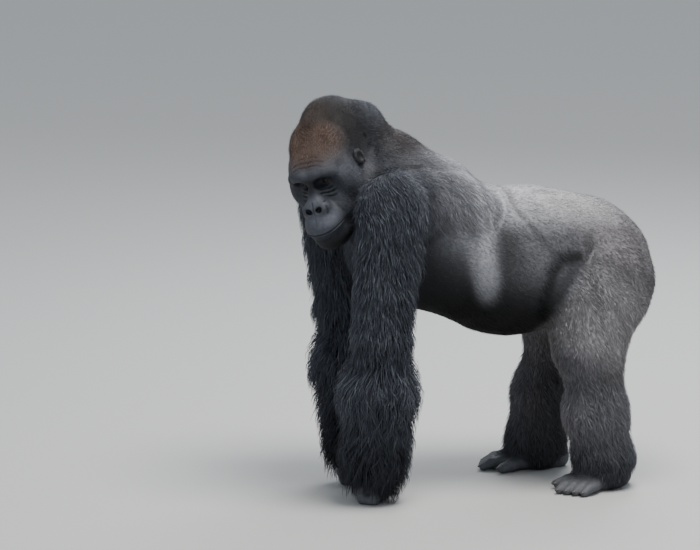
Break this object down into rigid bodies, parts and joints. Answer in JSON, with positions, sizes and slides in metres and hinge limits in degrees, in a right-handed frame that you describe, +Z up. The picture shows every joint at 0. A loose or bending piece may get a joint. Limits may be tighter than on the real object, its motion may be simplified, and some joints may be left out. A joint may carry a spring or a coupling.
{
  "type": "gorilla",
  "caption": "Life-size male silverback gorilla standing on its knuckles and soles, with its head turned to its left.",
  "frame": {"origin": "on the floor, under the middle of the whole body's bounding box", "axes": "+Z up, -X towards the front of the body, +Y towards the animal's right side"},
  "size_m": [1.1984, 0.714, 1.2771],
  "materials": {
    "dark_coat": "blue-black to brown-black hair, dull, long on the arms",
    "silver_coat": "short silver-grey hair with a soft sheen",
    "bare_skin": "bare slate-black skin, softly shining, finely wrinkled",
    "eye": "wet dark amber",
    "nail": "dull dark grey horn"
  },
  "bodies": {
    "root": {"chest": "silver_coat", "belly": "silver_coat", "rump": "silver_coat", "neck": "dark_coat", "head": "dark_coat", "lower_jaw": "bare_skin", "eye_left": "eye", "eye_right": "eye", "ear_left": "bare_skin", "ear_right": "bare_skin", "upper_arm_left": "dark_coat", "upper_arm_right": "dark_coat", "forearm_left": "dark_coat", "forearm_right": "dark_coat", "hand_left": "dark_coat", "hand_right": "dark_coat", "thigh_left": "silver_coat", "thigh_right": "silver_coat", "shank_left": "dark_coat", "shank_right": "dark_coat", "foot_left": "bare_skin", "foot_right": "bare_skin"}
  },
  "joints": []
}
